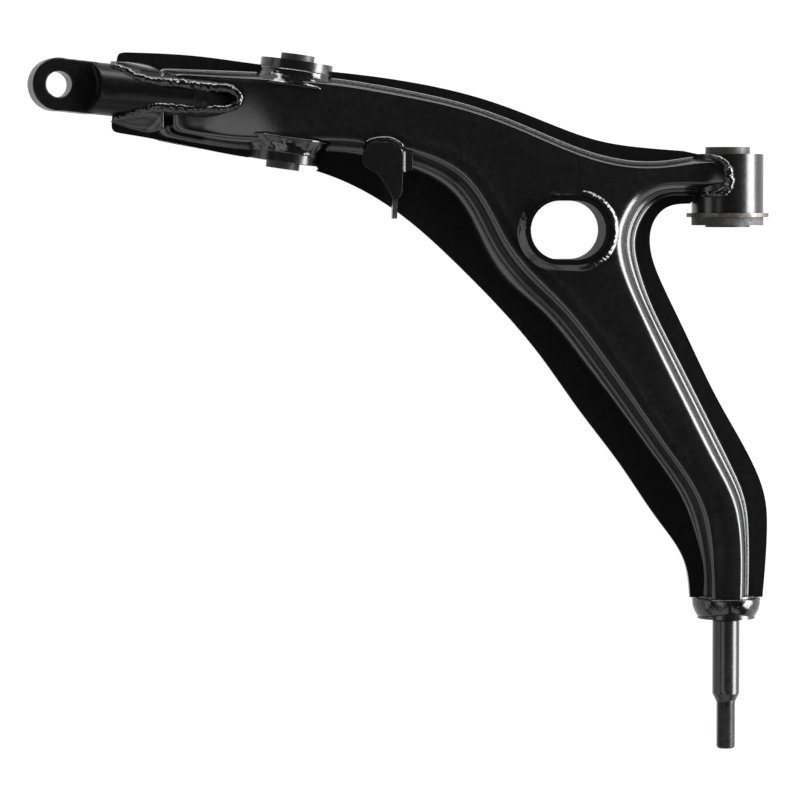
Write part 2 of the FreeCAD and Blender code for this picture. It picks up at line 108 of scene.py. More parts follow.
def spline(points, spacing=None, counts=None):
    """Natural cubic spline through the points; returns samples and the count on each span."""
    points = np.array(points, float)
    spans = np.linalg.norm(np.diff(points, axis=0), axis=1)
    if counts is None:
        counts = [max(1, int(math.ceil(span / spacing))) for span in spans]
    size = len(points)
    system = np.eye(size)
    right = np.zeros_like(points)
    for i in range(1, size - 1):
        before, after = spans[i - 1], spans[i]
        system[i, i - 1:i + 2] = (before, 2 * (before + after), after)
        right[i] = 6 * ((points[i + 1] - points[i]) / after - (points[i] - points[i - 1]) / before)
    bend = np.linalg.solve(system, right)
    samples = []
    for i, count in enumerate(counts):
        span = spans[i]
        for k in range(count):
            t = span * k / count
            rest = span - t
            samples.append(bend[i] * rest ** 3 / (6 * span) + bend[i + 1] * t ** 3 / (6 * span)
                           + (points[i] / span - bend[i] * span / 6) * rest
                           + (points[i + 1] / span - bend[i + 1] * span / 6) * t)
    samples.append(points[-1])
    return np.array(samples), counts


def line(first, last, count):
    share = np.linspace(0, 1, count + 1)[:, None]
    return np.array(first, float) * (1 - share) + np.array(last, float) * share


def soften(run, passes):
    """Round the corners of a sampled run; its ends stay."""
    run = run.copy()
    for _ in range(passes):
        run[1:-1] = (run[:-2] + 2 * run[1:-1] + run[2:]) / 4
    return run


def smooth(value):
    value = np.clip(value, 0.0, 1.0)
    return value * value * (3 - 2 * value)


def inside(points, loop):
    """Which points lie inside a closed loop."""
    x, y = points[:, 0:1], points[:, 1:2]
    x0, y0 = loop[:, 0], loop[:, 1]
    x1, y1 = np.roll(x0, -1), np.roll(y0, -1)
    crosses = (y0 > y) != (y1 > y)
    slope = np.where(y1 == y0, 1e-9, y1 - y0)
    reach = (x1 - x0) * (y - y0) / slope + x0
    return (np.sum(crosses & (x < reach), axis=1) % 2) == 1


def distance(points, loop):
    """Distance from each point to the nearest sample of a loop."""
    result = np.empty(len(points))
    for start in range(0, len(points), 2000):
        block = points[start:start + 2000]
        gaps = np.linalg.norm(block[:, None, :] - loop[None, :, :], axis=2)
        result[start:start + 2000] = gaps.min(axis=1)
    return result


def face_height(points):
    """Height of the pressing's top face before its crown, at (x, y) points."""
    x, y = points[:, 0], points[:, 1]
    height = EYE_END_HEIGHT - 1.5 * smooth((-300 - x) / 40)
    height = height + (BOSS_HEIGHT - EYE_END_HEIGHT) * smooth((x + 322) / 50)
    height = height + (FACE_HEIGHT - BOSS_HEIGHT) * smooth((x + 262) / 62)
    height = height + (PIN_END_HEIGHT - FACE_HEIGHT) * smooth((-195 - y) / 45)
    strap = np.sqrt(np.maximum(STRAP_RADIUS ** 2 - x ** 2, 0.0))
    blended = np.logaddexp(height * STRAP_BLEND, strap * STRAP_BLEND) / STRAP_BLEND
    near_bush = (x > -40) & (y > -40)
    return np.where(near_bush, blended, height)


# ---------------------------------------------------------------- the pressed shells

# Sections across a wall: (place, share of the height), from the flange to the face.
INBOARD_SECTION = [(-0.45, 0), (-0.15, 0.005), (0, 0.05), (0.12, 0.17), (0.35, 0.36), (0.45, 0.39),
                   (0.6, 0.62), (0.75, 0.76), (0.9, 0.85), (1.05, 0.915), (1.2, 0.96), (1.35, 0.985),
                   (1.55, 1)]
OUTBOARD_SECTION = [(0, 0), (0.12, 0.008), (0.25, 0.03), (0.4, 0.075), (0.55, 0.14), (0.64, 0.22),
                    (0.72, 0.42), (0.8, 0.66), (0.87, 0.82), (0.94, 0.9), (1.03, 0.955),
                    (1.15, 0.985), (1.3, 1)]
FORWARD_SECTION = [(-0.2, 0), (0.05, 0.05), (0.3, 0.3), (0.6, 0.68), (0.85, 0.92), (1.0, 0.985),
                   (1.15, 1)]
PLACES = np.linspace(-0.45, 1.55, 58)
# How far the face falls at each of its edges, and over what distance.
FALLS = ((4.2, 16.0), (1.3, 7.0), (1.2, 7.0))
# The neck to the front bush is rounder: its falls are this many times larger.
NECK_SHARE = 2.4


def crown(points, edges):
    """Swell of the face: it falls away towards its outboard, inboard and forward edges."""
    height = np.full(len(points), 0.4)
    neck = smooth((points[:, 0] + 62) / 40)
    for place, ((fall, reach), edge) in enumerate(zip(FALLS, edges)):
        share = 1 + (NECK_SHARE - 1) * neck if place else 1.0
        height -= share * fall * np.exp(-distance(points, edge) / reach)
    return height


def profile(section):
    """Share of the wall's height at each of PLACES."""
    run, _ = spline(section, 0.03)
    return np.clip(np.interp(PLACES, run[:, 0], run[:, 1]), 0, 1)


def wall(foot, face, shares, edges):
    """Rows of the wall from the flange to the face; each row is an (n, 3) array."""
    rows = []
    lift = crown(foot + (face - foot) * PLACES[-1], edges)
    for place, share in zip(PLACES, shares):
        flat = foot + (face - foot) * place
        top = face_height(flat) + lift
        rows.append(np.column_stack([flat, SHEET + (top - SHEET) * share]))
    return rows


def region(outline, hole=None):
    """Triangles that fill an outline, on a regular grid: returns flat points and triples."""
    low, high = outline.min(0), outline.max(0)
    columns = np.arange(low[0], high[0], GRID)
    rows = np.arange(low[1], high[1], GRID * 0.866)
    grid = np.array([(x + (k % 2) * GRID / 2, y) for k, y in enumerate(rows) for x in columns])
    keep = inside(grid, outline)
    grid = grid[keep]
    grid = grid[distance(grid, outline) > 0.75 * GRID]
    loops = [outline]
    if hole is not None:
        grid = grid[~inside(grid, hole)]
        grid = grid[distance(grid, hole) > 0.75 * GRID]
        loops.append(hole)
    points = np.vstack(loops + [grid])
    edges = []
    start = 0
    for loop in loops:
        count = len(loop)
        edges += [(start + i, start + (i + 1) % count) for i in range(count)]
        start += count
    found = delaunay_2d_cdt([Vector(p) for p in points], edges, [], 1, 1e-5)
    flat = np.array([tuple(p) for p in found[0]])
    triples = [face for face in found[2]]
    if hole is not None:
        centres = np.array([flat[list(face)].mean(0) for face in triples])
        inner = inside(centres, hole)
        triples = [face for face, drop in zip(triples, inner) if not drop]
    return flat, triples


def obround(long, wide, count=96):
    """Obround loop round the window's centre, long along X."""
    radius = wide / 2
    run = (long - wide) / 2
    points = []
    for k in range(count):
        turn = 2 * math.pi * k / count
        shift = run if math.cos(turn) > 0 else -run
        points.append((WINDOW[0] + shift + radius * math.cos(turn),
                       WINDOW[1] + radius * math.sin(turn)))
    return np.array(points)


class Surface:
    """Collects rows, triangles and loops of one sheet, in millimetres."""

    def __init__(self):
        self.points = []
        self.faces = []

    def add(self, points, faces):
        start = sum(len(block) for block in self.points)
        self.points.append(points)
        self.faces += [[start + i for i in face] for face in faces]

    def add_rows(self, rows, closed=False):
        count = len(rows[0])
        last = count if closed else count - 1
        faces = []
        for r in range(len(rows) - 1):
            for i in range(last):
                j = (i + 1) % count
                faces.append((r * count + i, r * count + j, (r + 1) * count + j, (r + 1) * count + i))
        self.add(np.vstack(rows), faces)

    def mesh(self, name, merge=0.02):
        data = bpy.data.meshes.new(name)
        points = np.vstack(self.points) * MM
        data.from_pydata([tuple(p) for p in points], [], self.faces)
        work = bmesh.new()
        work.from_mesh(data)
        bmesh.ops.remove_doubles(work, verts=work.verts, dist=merge * MM)
        bmesh.ops.recalc_face_normals(work, faces=work.faces)
        work.to_mesh(data)
        work.free()
        return data


def hidden_in_tubes(centre):
    """True inside the front housing or the fork tube, where the sheet is cut away."""
    if centre[0] > -30 and centre[1] > -40 and math.hypot(centre[0], centre[2]) < HOUSING_RADIUS - 0.7:
        return True
    offset = centre - FORK_CENTRE
    along = offset.dot(FORK_AXIS)
    across = np.linalg.norm(offset - along * FORK_AXIS)
    return abs(along) < 40 and across < FORK_RADIUS - 0.7


def shell_surface():
    inboard_foot, counts = spline(FOOT_INBOARD, 2.0)
    inboard_face, _ = spline(FACE_INBOARD, counts=counts)
    outboard_foot, counts = spline(FOOT_OUTBOARD, 2.0)
    outboard_face, _ = spline(FACE_OUTBOARD, counts=counts)
    forward_foot, counts = spline(FOOT_FORWARD, 2.0)
    forward_face, _ = spline(FACE_FORWARD, counts=counts)
    end_foot = line(FOOT_OUTBOARD[-1], FOOT_FORWARD[0], 20)
    end_face = line(FACE_OUTBOARD[-1], FACE_FORWARD[0], 20)
    outer_foot = soften(np.vstack([outboard_foot[:-1], end_foot[:-1], forward_foot]), 8)
    outer_face = soften(np.vstack([outboard_face[:-1], end_face[:-1], forward_face]), 8)
    edges = (outboard_face, inboard_face, forward_face)
    inboard = wall(inboard_foot, inboard_face, profile(INBOARD_SECTION), edges)
    change = len(outboard_foot) + 10
    forwardness = smooth((np.arange(len(outer_foot)) - change + 16) / 32)
    shares = np.outer(profile(OUTBOARD_SECTION), 1 - forwardness)
    shares += np.outer(profile(FORWARD_SECTION), forwardness)
    outer = wall(outer_foot, outer_face, shares, edges)
    hole = obround(WINDOW_LINER[0] + 0.2, WINDOW_LINER[1] + 0.2)
    face_loop = np.vstack([inboard[-1][:, :2], outer[-1][:, :2]])

    surface = Surface()
    flat, triples = region(face_loop, hole)
    base = face_height(flat) + crown(flat, edges)
    surface.add(np.column_stack([flat, base]), triples)
    for rows in (inboard, outer):
        surface.add_rows(rows)

    rim_inboard, _ = spline(RIM_INBOARD, 2.0)
    rim_outboard, _ = spline(RIM_OUTBOARD, 2.0)
    rim_forward, _ = spline(RIM_FORWARD, 2.0)
    rim_end = line(RIM_OUTBOARD[-1], RIM_FORWARD[0], 24)
    rim_outer = soften(np.vstack([rim_outboard[:-1], rim_end[:-1], rim_forward]), 4)
    for rim, rows in ((rim_inboard, inboard), (rim_outer, outer)):
        flange = np.vstack([rim, rows[0][::-1, :2]])
        flat, triples = region(flange)
        surface.add(np.column_stack([flat, np.full(len(flat), SHEET)]), triples)
    return surface


def cut_hidden(data):
    work = bmesh.new()
    work.from_mesh(data)
    doomed = []
    for face in work.faces:
        centre = np.array(face.calc_center_median()) / MM
        centre[2] = abs(centre[2])
        if hidden_in_tubes(centre):
            doomed.append(face)
    bmesh.ops.delete(work, geom=doomed, context="FACES")
    work.to_mesh(data)
    work.free()


def add_object(name, data, body="arm"):
    item = bpy.data.objects.new(name, data)
    bpy.context.scene.collection.objects.link(item)
    for polygon in data.polygons:
        polygon.use_smooth = True
    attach(item, body)
    return item


def round_edges(item, width, angle=40):
    edges = item.modifiers.new("edges", "BEVEL")
    edges.width = width * MM
    edges.segments = 3
    edges.limit_method = "ANGLE"
    edges.angle_limit = math.radians(angle)
    edges.harden_normals = True


def shells():
    surface = shell_surface()
    for name, side in (("upper_shell", 1), ("lower_shell", -1)):
        data = surface.mesh(name + "_skin")
        if side < 0:
            data.transform(Matrix.Scale(-1, 4, (0, 0, 1)))
        work = bmesh.new()
        work.from_mesh(data)
        bmesh.ops.recalc_face_normals(work, faces=work.faces)
        up = sum(face.normal.z * face.calc_area() for face in work.faces)
        if up * side < 0:
            bmesh.ops.reverse_faces(work, faces=work.faces)
        work.to_mesh(data)
        work.free()
        cut_hidden(data)
        item = add_object(name + "_skin", data)
        thick = item.modifiers.new("sheet", "SOLIDIFY")
        thick.thickness = SHEET * MM
        thick.offset = -1
        round_edges(item, 0.6)
        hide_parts(name)
        data.materials.append(MATERIALS["coat"])


# ---------------------------------------------------------------- weld beads

def bead_ring(centre, tangent, top, radius, along, look):
    """One ring of a bead: a round section with rippled, uneven skin."""
    pitch, rough, seed = look
    side = np.cross(tangent, top)
    side /= np.linalg.norm(side)
    top = np.cross(side, tangent)
    ring = []
    for turn in np.linspace(0, 2 * math.pi, 24, endpoint=False):
        phase = (along / pitch + 0.4 * math.sin(turn) ** 2) % 1.0
        ripple = 0.09 * (phase if phase < 0.75 else 3 * (1 - phase))
        spot = Vector((centre[0] * 0.4 + seed, centre[1] * 0.4, centre[2] * 0.4 + turn * 0.6))
        lumps = noise.noise(spot) + 0.5 * noise.noise(spot * 2.7) + 0.3 * noise.noise(spot * 6)
        reach = radius * (1 + ripple + rough * lumps)
        ring.append(centre + reach * (math.cos(turn) * top + math.sin(turn) * side))
    return np.array(ring)


def bead(name, node, path, radius, pitch=1.6, rough=0.2, seed=0, closed=False, up=(0, 0, 1)):
    """Rippled weld bead along a run of 3-D points; radius may be one value for each point."""
    path = np.array(path, float)
    sizes = np.full(len(path), radius) if np.isscalar(radius) else np.array(radius, float)
    path = np.column_stack([path, sizes])
    if closed:
        path = np.vstack([path, path[:1]])
    run, _ = spline(path, 0.4)
    steps = np.linalg.norm(np.diff(run[:, :3], axis=0), axis=1)
    along = np.concatenate([[0], np.cumsum(steps)])
    tangents = np.gradient(run[:, :3], axis=0)
    tangents /= np.linalg.norm(tangents, axis=1)[:, None]
    rows = []
    for place, tangent, done in zip(run, tangents, along):
        thick = place[3]
        if not closed:
            reach = min(done, along[-1] - done)
            thick *= math.sqrt(min(1.0, 0.02 + reach / (1.3 * thick)))
        rows.append(bead_ring(place[:3], tangent, np.array(up, float), thick, done,
                              (pitch, rough, seed)))
    if closed:
        rows = rows[:-1] + [rows[0]]
    surface = Surface()
    surface.add_rows(rows, closed=True)
    data = surface.mesh(name, 0.005)
    if not closed:
        fill_ends(data)
    return dress_weld(name, node, data)


def dress_weld(name, node, data):
    item = add_object(name, data)
    if node:
        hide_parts(node)
    data.materials.append(MATERIALS["weld"])
    return item


def flare(name, node, rows, seed, rough=0.35):
    """Weld laid as a skirt: rows of closed rings, made uneven, and closed on the inside."""
    skin = []
    for level, row in enumerate(rows):
        ring = []
        for index, point in enumerate(row):
            spot = Vector(point) * 0.33 + Vector((seed, 0, 0))
            lumps = noise.noise(spot) + 0.6 * noise.noise(spot * 2.3) + 0.3 * noise.noise(spot * 5)
            swell = math.sin(math.pi * level / (len(rows) - 1))
            before, after = rows[max(level - 1, 0)], rows[min(level + 1, len(rows) - 1)]
            down = after[index] - before[index]
            around = row[(index + 1) % len(row)] - row[index - 1]
            outward = np.cross(around, down)
            outward /= np.linalg.norm(outward) + 1e-9
            ring.append(point + outward * rough * lumps * (0.3 + swell))
        skin.append(np.array(ring))
    surface = Surface()
    surface.add_rows(skin, closed=True)
    data = surface.mesh(name, 0.005)
    item = dress_weld(name, node, data)
    thick = item.modifiers.new("body", "SOLIDIFY")
    thick.thickness = 1.2 * MM
    thick.offset = -1
    return item


def fill_ends(data):
    work = bmesh.new()
    work.from_mesh(data)
    edges = [edge for edge in work.edges if len(edge.link_faces) == 1]
    bmesh.ops.holes_fill(work, edges=edges)
    bmesh.ops.recalc_face_normals(work, faces=work.faces)
    work.to_mesh(data)
    work.free()


def on_cylinder(points, radius):
    """Lift (x, y) points onto a cylinder round the front bush's axis."""
    return [(x, y, math.sqrt(radius ** 2 - x ** 2)) for x, y in points]


def fork_skirt(side):
    """Rings of the weld that runs from the fork tube out on to the shells, at one end."""
    across = np.array([FORK_AXIS[1], -FORK_AXIS[0], 0.0])
    up = np.array([0.0, 0.0, 1.0])
    start = 25.2 if side > 0 else 25.6
    rows = []
    for share in np.linspace(0, 1, 12):
        along = side * (start - 9.5 * share)
        row = []
        for turn in np.linspace(0, 2 * math.pi, 120, endpoint=False):
            wide = min(28.5, 24.9 / max(abs(math.cos(turn)), 0.01))
            reach = 22.1 + (wide - 22.1) * share ** 1.6
            row.append(FORK_CENTRE + FORK_AXIS * along
                       + reach * (math.sin(turn) * across + math.cos(turn) * up))
        rows.append(np.array(row))
    return rows if side > 0 else [row[::-1] for row in rows]


def collar_skirt():
    """Rings of the weld between the shells' end and the collar: two lobes on each side."""
    rows = []
    for share in np.linspace(0, 1, 12):
        row = []
        for turn in np.linspace(0, 2 * math.pi, 144, endpoint=False):
            lobe = abs(math.sin(turn - math.pi / 2 + 0.06))
            low = -262.0 - 3.6 * lobe ** 0.5
            bulge = 1.0 * math.sin(math.pi * share) * lobe ** 0.4
            y = -254.6 + (low + 254.6) * share
            reach = 21.0 - 3.2 * share + bulge - 0.7 * (1 - lobe ** 0.3)
            row.append(np.array([reach * math.cos(turn), y, reach * math.sin(turn)]))
        rows.append(np.array(row))
    return rows


def window_fillet(side):
    """Rings of the weld from the pressing's face up to the window liner, rippled on its right."""
    rows = []
    for share in np.linspace(0, 1, 14):
        grow = (WINDOW_HOLE[0] - WINDOW_LINER[0]) * (1 - share) + 0.3
        ring = obround(WINDOW_LINER[0] + grow, WINDOW_LINER[1] + grow * 0.82, 240)
        turns = np.arctan2(ring[:, 1] - WINDOW[1], ring[:, 0] - WINDOW[0])
        laid = smooth((np.cos(turns - 0.1) - 0.35) / 0.4)
        ripple = np.sin(turns * 62 + 2 * np.sin(turns * 9)) + 0.6 * np.sin(turns * 23)
        foot = FACE_HEIGHT - 0.5 - 2.0 * smooth(-np.cos(turns - 0.6))
        level = foot + (LINER_TOP - LINER_PROUD - foot) * share
        level = level + math.sin(math.pi * share) * laid * (0.8 + 0.2 * ripple)
        rows.append(np.column_stack([ring, level * side]))
    return rows if side > 0 else [row[::-1] for row in rows]


EYE_RUN = [(-377, 71.2, 6.7), (-368.6, 68.7, 9.6), (-361, 64.6, 13), (-354, 62.4, 14.6),
           (-346, 61.2, 15.8), (-335, 60.2, 17), (-323.8, 58.6, 18.2), (-312, 57.6, 19.6),
           (-302.5, 56, 20.9), (-299, 51.5, 21.6), (-301.5, 47.2, 21.2), (-310, 45, 19.8),
           (-323.8, 45.2, 18.2), (-336, 45.6, 17), (-346, 46.2, 15.8), (-355, 45.2, 13.4),
           (-364, 42.3, 9.6), (-375, 39.4, 5)]
EYE_SIZE = [1.8, 2.4, 2.6, 2.8, 3.0, 3.2, 3.4, 3.2, 2.8, 2.4, 2.2, 2.4, 2.6, 2.8, 2.8, 2.6, 2.4,
            1.8]

BAR_START = np.array([-410.0, 60.0, 0.0])
BAR_SLOPE = math.radians(-5.6)
# The bar's rounded end: where it starts and stops along the bar, and its radius and height there.
NOSE_START, NOSE_END = 84.0, 112.0
NOSE_RADIUS = 12.4
NOSE_TOP = 22.1


def bar_nose():
    """Rounded end of the forged bar, where it dips under the weld."""
    along = np.array([math.cos(BAR_SLOPE), math.sin(BAR_SLOPE), 0.0])
    across = np.array([-along[1], along[0], 0.0])
    up = np.array([0.0, 0.0, 1.0])
    rows = []
    for run in np.linspace(NOSE_START, NOSE_END, 24):
        share = (run - NOSE_START) / (NOSE_END - NOSE_START)
        radius = 0.02 + NOSE_RADIUS * math.sqrt(max(0.0, 1 - share ** 2.4))
        top = NOSE_TOP - 2.4 * share ** 2
        centre = BAR_START + along * run + up * (top - radius)
        rows.append(np.array([centre + radius * (math.cos(turn) * up + math.sin(turn) * across)
                              for turn in np.linspace(0, 2 * math.pi, 48, endpoint=False)]))
    for side in (1, -1):
        surface = Surface()
        surface.add_rows([row * (1, 1, side) for row in rows], closed=True)
        name = "bar_nose_%s" % ("upper" if side > 0 else "lower")
        data = surface.mesh(name, 0.005)
        fill_ends(data)
        item = add_object(name, data)
        data.materials.append(MATERIALS["forged"])


CHEEK_FORWARD = ([(-377, 71.2, 6.7), (-368.6, 68.7, 9.4), (-361, 64.6, 12.6), (-354, 62.4, 14.2),
                  (-345, 61.2, 15.2)],
                 [(-377, 73.6, 2.7), (-368, 73.4, 2.7), (-360, 72.6, 2.7), (-353, 71, 2.7),
                  (-345, 66.6, 12.5)])
CHEEK_REARWARD = ([(-375, 39.4, 4.6), (-364, 42.3, 9.2), (-355, 45.2, 13), (-345, 46.4, 15)],
                  [(-377, 37.4, 2.7), (-366, 33.6, 2.7), (-356, 31, 2.7), (-345, 33.2, 12)])


def cheeks():
    """Ramps of the shells from their flanges up on to the forged bar."""
    for side in (1, -1):
        for word, (high, low) in (("forward", CHEEK_FORWARD), ("rearward", CHEEK_REARWARD)):
            top, counts = spline(high, 1.5)
            bottom, _ = spline(low, counts=counts)
            rows = []
            for share in np.linspace(0, 1, 9):
                row = top + (bottom - top) * share
                row[:, 2] = bottom[:, 2] + (top[:, 2] - bottom[:, 2]) * (1 - smooth(share))
                row[:, 2] *= side
                rows.append(row)
            surface = Surface()
            surface.add_rows(rows)
            name = "shell_cheek_%s_%s" % (word, "upper" if side > 0 else "lower")
            data = surface.mesh(name)
            item = add_object(name, data)
            thick = item.modifiers.new("sheet", "SOLIDIFY")
            thick.thickness = 1.6 * MM
            thick.offset = 0
            data.materials.append(MATERIALS["coat"])


def welds():
    bead("eye_weld_upper_bead", "eye_weld_upper", EYE_RUN, EYE_SIZE, 1.4, 0.22, 3)
    under = [(x, y, -z) for x, y, z in EYE_RUN]
    bead("eye_weld_lower_bead", "eye_weld_lower", under, EYE_SIZE, 1.4, 0.2, 5, up=(0, 0, -1))
    flare("fork_weld_forward_skirt", "fork_weld_forward", fork_skirt(1), 7)
    flare("fork_weld_rearward_skirt", "fork_weld_rearward", fork_skirt(-1), 9)
    strap = [(-18, -6.4), (-10, -6.4), (-4, -4), (-2.2, 0), (-2.2, 6), (-3.4, 11), (-8, 15.4),
             (-16, 16.6)]
    sizes = [1.4, 2.2, 3.0, 3.2, 3.0, 2.2, 1.5, 1.0]
    top = on_cylinder(strap, HOUSING_RADIUS + 0.9)
    bead("front_bush_weld_upper_bead", "front_bush_weld_upper", top, sizes, 1.5, 0.3, 9)
    bead("front_bush_weld_lower_bead", "front_bush_weld_lower", [(x, y, -z) for x, y, z in top], sizes,
         1.5, 0.3, 10, up=(0, 0, -1))
    flare("rear_pin_weld_skirt", "rear_pin_weld", collar_skirt(), 11, 0.16)
    for name, side in (("upper", 1), ("lower", -1)):
        flare("window_weld_%s_fillet" % name, "window_weld_" + name, window_fillet(side), 13 + side, 0.12)
    line_bracket()
    bracket = [(-226, 20, 22.5), (-222.5, 24.3, 22.8), (-216, 26.8, 23), (-206, 26.1, 23),
               (-200, 22, 23)]
    bead("bracket_weld_bead", "bracket_weld", bracket, 1.4, 2.5, 0.1, 15)


# ---------------------------------------------------------------- line bracket

BRACKET_PLATE = [(-225.3, 12.5), (-224.9, 18.9), (-222.6, 22.7), (-218, 25.2), (-207.2, 24.8),
                 (-201.5, 21), (-200.3, 17), (-201, -5.5), (-203.4, -10), (-206.8, -10),
                 (-207.5, -6.4), (-209.5, -4.1), (-213.4, 2.8), (-216.4, 6.2), (-222.6, 9.3)]
BRACKET_LEG = [(20, 5.85), (24, 23.5), (-9, 23.5), (-21.5, 17), (-21.5, 5.85)]
BRACKET_SHEET = 3.0
BRACKET_LEVEL = 24.0
LEG_PLACE = -205.1
FOLD_PLACE = -203.5
# Section of the side flange: (run inboard from the fold, height).
BRACKET_FOLD = [(0, 24.0), (0.9, 23.85), (1.6, 23.3), (2.1, 22.3), (2.6, 21), (3.4, 20), (4.6, 19.4),
                (6.4, 19.1), (8.8, 18.8)]


def rounded(points, passes=6):
    """Closed loop through the points, with its corners rounded off."""
    loop = np.vstack([line(a, b, max(1, int(math.dist(a, b) / 0.7)))[:-1]
                      for a, b in zip(points, points[1:] + points[:1])])
    for _ in range(passes):
        loop = (np.roll(loop, 1, 0) + 2 * loop + np.roll(loop, -1, 0)) / 4
    return loop


def line_bracket():
    """Folded sheet bracket: plate, side flange and leg, each at the middle of its sheet."""
    surface = Surface()
    flat, triples = region(rounded(BRACKET_PLATE))
    surface.add(np.column_stack([flat, np.full(len(flat), BRACKET_LEVEL)]), triples)
    flat, triples = region(rounded(BRACKET_LEG))
    surface.add(np.column_stack([np.full(len(flat), LEG_PLACE), flat]), triples)
    rows = []
    for run, level in spline(BRACKET_FOLD, 0.5)[0]:
        place = FOLD_PLACE + run
        rows.append(line((place, 6 + 0.25 * run, level), (place, 21 - 0.45 * run, level), 14))
    surface.add_rows(rows)
    data = surface.mesh("line_bracket_sheet", 0.005)
    item = add_object("line_bracket_sheet", data)
    thick = item.modifiers.new("sheet", "SOLIDIFY")
    thick.thickness = BRACKET_SHEET * MM
    thick.offset = 0
    round_edges(item, 0.8)
    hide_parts("line_bracket")
    data.materials.append(MATERIALS["coat"])


# ---------------------------------------------------------------- rear pin with a real thread

def rear_pin():
    start, root_end, seat = -235.0, -267.0, -268.0
    shank, shank_end, thread_start, tip = 8.3, -314.0, -318.0, -347.5
    crest, pitch = 6.0, 1.5
    depth = 0.61 * pitch
    around = 72
    stations = [(start, 0.01), (start, 8.6), (root_end, 8.6), (root_end, 7.9), (seat, 7.9),
                (seat, shank - 0.2), (seat - 0.2, shank)]
    stations += [(y, shank) for y in np.linspace(seat - 1, shank_end + 0.5, 24)]
    stations += [(shank_end, shank - 0.25), (thread_start + 0.6, crest + 0.35),
                 (thread_start, crest)]
    stations += [(y, None) for y in np.arange(thread_start - 0.1, tip, -0.1)]
    stations += [(tip, 4.6), (tip, 0.01)]
    rows = []
    for y, radius in stations:
        ring = []
        for j in range(around):
            turn = 2 * math.pi * j / around
            reach = radius
            if radius is None:
                phase = (y / pitch + j / around) % 1.0
                flank = np.clip((abs(phase - 0.5) - 0.05) / 0.33, 0, 1)
                cut = depth * (1 - flank)
                cut *= smooth(np.array((thread_start - y) / 1.5))
                chamfer = max(0.0, 1.3 - (y - tip))
                reach = min(crest - cut, crest - chamfer)
            ring.append((reach * math.cos(turn), y, reach * math.sin(turn)))
        rows.append(np.array(ring))
    surface = Surface()
    surface.add_rows(rows, closed=True)
    data = surface.mesh("rear_pin_turned", 0.005)
    item = add_object("rear_pin_turned", data)
    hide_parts("rear_pin")
    data.materials.append(MATERIALS["pin"])


# ---------------------------------------------------------------- materials

def new_material(name):
    material = bpy.data.materials.new(name)
    material.use_nodes = True
    nodes = material.node_tree.nodes
    shader = nodes["Principled BSDF"]
    return material, nodes, material.node_tree.links, shader


def add_noise(nodes, links, place, scale, detail=4.0, roughness=0.55):
    texture = nodes.new("ShaderNodeTexNoise")
    texture.inputs["Scale"].default_value = scale
    texture.inputs["Detail"].default_value = detail
    texture.inputs["Roughness"].default_value = roughness
    links.new(place, texture.inputs["Vector"])
    return texture.outputs["Fac"]


def ramp(nodes, links, source, stops):
    """Colour ramp from a value; stops are (position, colour) with colour a grey or a triple."""
    node = nodes.new("ShaderNodeValToRGB")
    elements = node.color_ramp.elements
    while len(elements) < len(stops):
        elements.new(0.5)
    for element, (position, colour) in zip(elements, stops):
        element.position = position
        triple = colour if isinstance(colour, tuple) else (colour,) * 3
        element.color = triple + (1.0,)
    links.new(source, node.inputs["Fac"])
    return node.outputs["Color"]


def add_bump(nodes, links, source, strength, reach, after=None):
    node = nodes.new("ShaderNodeBump")
    node.inputs["Strength"].default_value = strength
    node.inputs["Distance"].default_value = reach
    links.new(source, node.inputs["Height"])
    if after is not None:
        links.new(after, node.inputs["Normal"])
    return node.outputs["Normal"]


def finish(name, colours, roughness, bumps, metallic=0.0, specular=0.5, speck=180.0):
    """Procedural finish: colour and roughness ranges over noise, and a list of bumps."""
    material, nodes, links, shader = new_material(name)
    place = nodes.new("ShaderNodeTexCoord").outputs["Object"]
    broad = add_noise(nodes, links, place, speck)
    links.new(ramp(nodes, links, broad, [(0.35, colours[0]), (0.65, colours[1])]),
              shader.inputs["Base Color"])
    fine = add_noise(nodes, links, place, speck * 2.3, 6.0)
    links.new(ramp(nodes, links, fine, [(0.3, roughness[0]), (0.7, roughness[1])]),
              shader.inputs["Roughness"])
    shader.inputs["Metallic"].default_value = metallic
    shader.inputs["Specular IOR Level"].default_value = specular
    normal = None
    for scale, strength, reach in bumps:
        height = add_noise(nodes, links, place, scale, 3.0)
        normal = add_bump(nodes, links, height, strength, reach, normal)
    links.new(normal, shader.inputs["Normal"])
    return material


def make_materials():
    black = ((0.0022, 0.0022, 0.0024), (0.0035, 0.0035, 0.0038))
    return {
        "coat": finish("black_coat", black, (0.20, 0.27),
                       [(40, 0.04, 0.002), (420, 0.05, 0.0004), (2600, 0.12, 0.0001)]),
        "weld": finish("black_coat_weld", black, (0.09, 0.16), [(800, 0.3, 0.0004)]),
        "forged": finish("forged_black", black, (0.26, 0.34),
                         [(120, 0.12, 0.001), (1100, 0.12, 0.0003)], specular=0.12),
        "liner": finish("liner_coat", black, (0.4, 0.5), [(500, 0.1, 0.0003)], specular=0.015),
        "pin": finish("pin_black", ((0.006, 0.006, 0.006), (0.011, 0.011, 0.011)), (0.22, 0.28),
                      [(2200, 0.02, 0.0001)], specular=0.4),
        "bare": finish("bare_steel", ((0.05, 0.047, 0.044), (0.13, 0.125, 0.12)), (0.38, 0.55),
                       [(600, 0.25, 0.0004)], metallic=1.0),
        "sleeve": finish("phosphated_sleeve", ((0.012, 0.012, 0.012), (0.024, 0.023, 0.022)),
                         (0.4, 0.55), [(900, 0.2, 0.0003)], specular=0.35),
        "rubber": finish("bush_rubber", ((0.012, 0.012, 0.012), (0.04, 0.038, 0.037)), (0.55, 0.8),
                         [(300, 0.5, 0.001), (1500, 0.3, 0.0003)]),
    }


